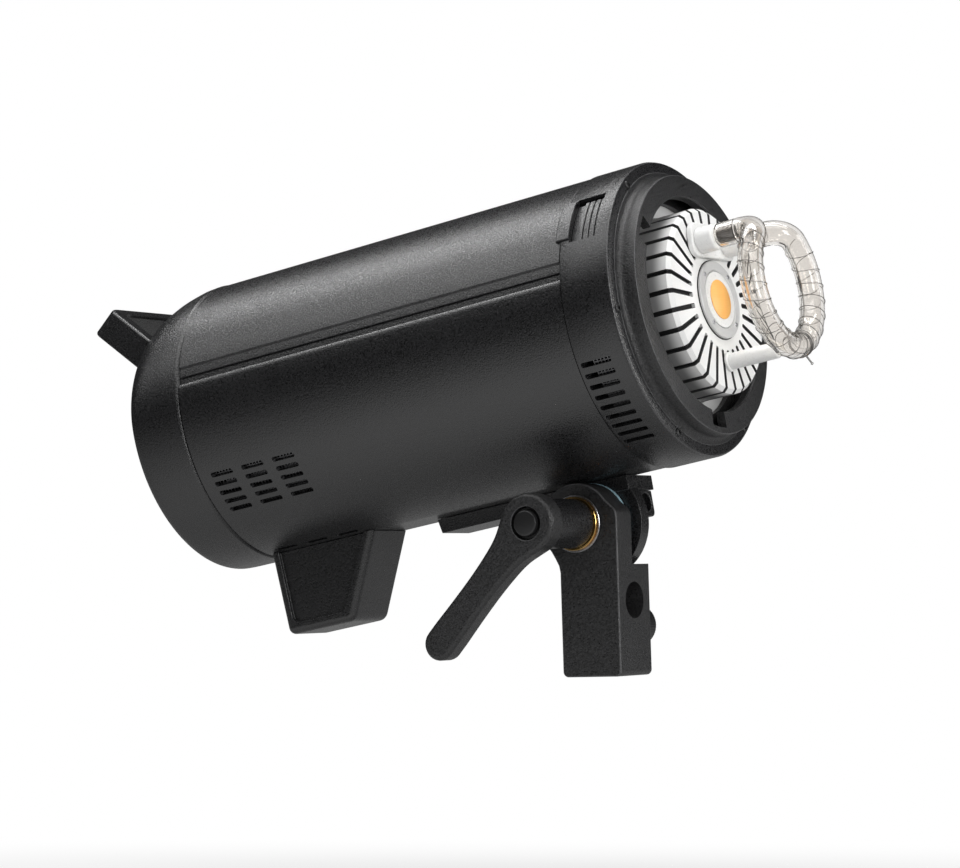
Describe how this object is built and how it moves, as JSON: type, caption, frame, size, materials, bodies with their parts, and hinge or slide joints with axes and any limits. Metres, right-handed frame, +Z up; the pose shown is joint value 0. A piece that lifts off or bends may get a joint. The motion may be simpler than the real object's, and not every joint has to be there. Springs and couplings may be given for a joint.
{
  "type": "monolight strobe",
  "caption": "Studio flash head with ring-shaped flash tube, modelling lamp on a finned drum, bayonet mount, carry handle, hand grip and a tilting stand bracket with clamp lever.",
  "frame": {"origin": "on the stand socket's axis, at the underside of the bracket", "axes": "+X forward, the way the light leaves; +Y to the light's left; +Z up along the stand. The head rests tilted nose-up as in the picture."},
  "size_m": [0.3546, 0.1314, 0.2228],
  "materials": {
    "bracket": "textured black paint",
    "brass_washer": "bright brass",
    "button_1": "dark grey",
    "button_2": "dark grey",
    "button_3": "dark grey",
    "button_4": "dark grey",
    "capacitor_1": "sleeved can",
    "capacitor_2": "sleeved can",
    "capacitor_3": "sleeved can",
    "carry_handle": "fine textured black",
    "clamp_bolt": "satin black",
    "clamp_lever": "textured black paint",
    "control_dial": "satin black",
    "display_window": "polished dark window",
    "electrode_cap_1": "polished",
    "electrode_cap_2": "polished",
    "fan_frame": "black",
    "fan_rotor": "black",
    "flash_tube": "clear glass",
    "friction_disc": "pale blue polymer",
    "front_cover": "fine textured black",
    "front_dish": "bright sheet",
    "hand_grip": "fine textured black",
    "heat_sink": "white coating",
    "inner_tray": "bare sheet",
    "led_base": "white ceramic",
    "led_lamp": "amber phosphor gel",
    "led_retainer": "white plastic",
    "lever_cap": "satin black",
    "lock_pin": "ground steel",
    "lower_shell": "fine textured black paint",
    "mount_ring": "coarse textured black paint",
    "mounting_plate": "textured black paint",
    "pivot_nut": "steel",
    "power_board": "green board",
    "power_inlet": "satin black",
    "power_switch": "satin black",
    "rear_cap": "fine textured black",
    "rear_panel": "satin dark grey",
    "release_slider": "satin black",
    "stand_knob": "satin black",
    "steel_washer": "steel",
    "support_post": "white ceramic",
    "sync_jack": "turned steel",
    "trigger_wire": "bare wire",
    "tube_sleeve_1": "white ceramic",
    "tube_sleeve_2": "white ceramic",
    "tube_socket": "white ceramic",
    "umbrella_guide_1": "textured black paint",
    "umbrella_guide_2": "textured black paint",
    "upper_shell": "fine textured black paint"
  },
  "bodies": {
    "base": {"bracket": "bracket", "steel_washer": "steel_washer", "brass_washer": "brass_washer"},
    "stand_lock": {"stand_knob": "stand_knob"},
    "bolt": {"clamp_bolt": "clamp_bolt"},
    "lever": {"clamp_lever": "clamp_lever", "lever_cap": "lever_cap"},
    "release": {"release_slider": "release_slider", "lock_pin": "lock_pin"},
    "dial": {"control_dial": "control_dial"},
    "button_1": {"button_1": "button_1"},
    "button_2": {"button_2": "button_2"},
    "button_3": {"button_3": "button_3"},
    "button_4": {"button_4": "button_4"},
    "switch": {"power_switch": "power_switch"},
    "fan": {"fan_rotor": "fan_rotor"},
    "head": {"capacitor_1": "capacitor_1", "capacitor_2": "capacitor_2", "capacitor_3": "capacitor_3", "carry_handle": "carry_handle", "display_window": "display_window", "electrode_cap_1": "electrode_cap_1", "electrode_cap_2": "electrode_cap_2", "fan_frame": "fan_frame", "flash_tube": "flash_tube", "friction_disc": "friction_disc", "front_cover": "front_cover", "front_dish": "front_dish", "hand_grip": "hand_grip", "heat_sink": "heat_sink", "inner_tray": "inner_tray", "led_base": "led_base", "led_lamp": "led_lamp", "led_retainer": "led_retainer", "lower_shell": "lower_shell", "mount_ring": "mount_ring", "mounting_plate": "mounting_plate", "pivot_nut": "pivot_nut", "power_board": "power_board", "power_inlet": "power_inlet", "rear_cap": "rear_cap", "rear_panel": "rear_panel", "support_post": "support_post", "sync_jack": "sync_jack", "trigger_wire": "trigger_wire", "tube_sleeve_1": "tube_sleeve_1", "tube_sleeve_2": "tube_sleeve_2", "tube_socket": "tube_socket", "umbrella_guide_1": "umbrella_guide_1", "umbrella_guide_2": "umbrella_guide_2", "upper_shell": "upper_shell"}
  },
  "joints": [
    {"name": "head_tilt", "type": "hinge", "parent": "base", "child": "head", "pos_m": [-0.0057, 0, 0.0668], "axis": [0, 1, 0], "range_deg": [-35, 45]},
    {"name": "clamp_turn", "type": "hinge", "parent": "base", "child": "bolt", "pos_m": [-0.0057, 0, 0.0668], "axis": [0, -1, 0], "range_deg": [0, 60]},
    {"name": "lever_pull", "type": "slide", "parent": "bolt", "child": "lever", "axis": [0, -1, 0], "range_m": [0, 0.005], "stiffness_N_per_m": 400, "springref_m": -0.003},
    {"name": "stand_lock_turn", "type": "hinge", "parent": "base", "child": "stand_lock", "pos_m": [0, 0.02, 0.0216], "axis": [0, 1, 0], "continuous": true},
    {"name": "release_slide", "type": "slide", "parent": "head", "child": "release", "axis": [-0.9867, 0, -0.1625], "range_m": [0, 0.004], "stiffness_N_per_m": 500, "springref_m": -0.003},
    {"name": "dial_turn", "type": "hinge", "parent": "head", "child": "dial", "pos_m": [-0.21555, 0.018, 0.11028], "axis": [-0.9867, 0, -0.1625], "continuous": true},
    {"name": "switch_rock", "type": "hinge", "parent": "head", "child": "switch", "pos_m": [-0.20392, -0.016, 0.08889], "axis": [0, -1, 0], "range_deg": [0, 10]},
    {"name": "fan_spin", "type": "hinge", "parent": "head", "child": "fan", "pos_m": [-0.15879, 0, 0.13483], "axis": [0.9867, 0, 0.1625], "continuous": true},
    {"name": "button_1_press", "type": "slide", "parent": "head", "child": "button_1", "axis": [0.9867, 0, 0.1625], "range_m": [0, 0.001], "stiffness_N_per_m": 800, "springref_m": -0.0006},
    {"name": "button_2_press", "type": "slide", "parent": "head", "child": "button_2", "axis": [0.9867, 0, 0.1625], "range_m": [0, 0.001], "stiffness_N_per_m": 800, "springref_m": -0.0006},
    {"name": "button_3_press", "type": "slide", "parent": "head", "child": "button_3", "axis": [0.9867, 0, 0.1625], "range_m": [0, 0.001], "stiffness_N_per_m": 800, "springref_m": -0.0006},
    {"name": "button_4_press", "type": "slide", "parent": "head", "child": "button_4", "axis": [0.9867, 0, 0.1625], "range_m": [0, 0.001], "stiffness_N_per_m": 800, "springref_m": -0.0006}
  ]
}
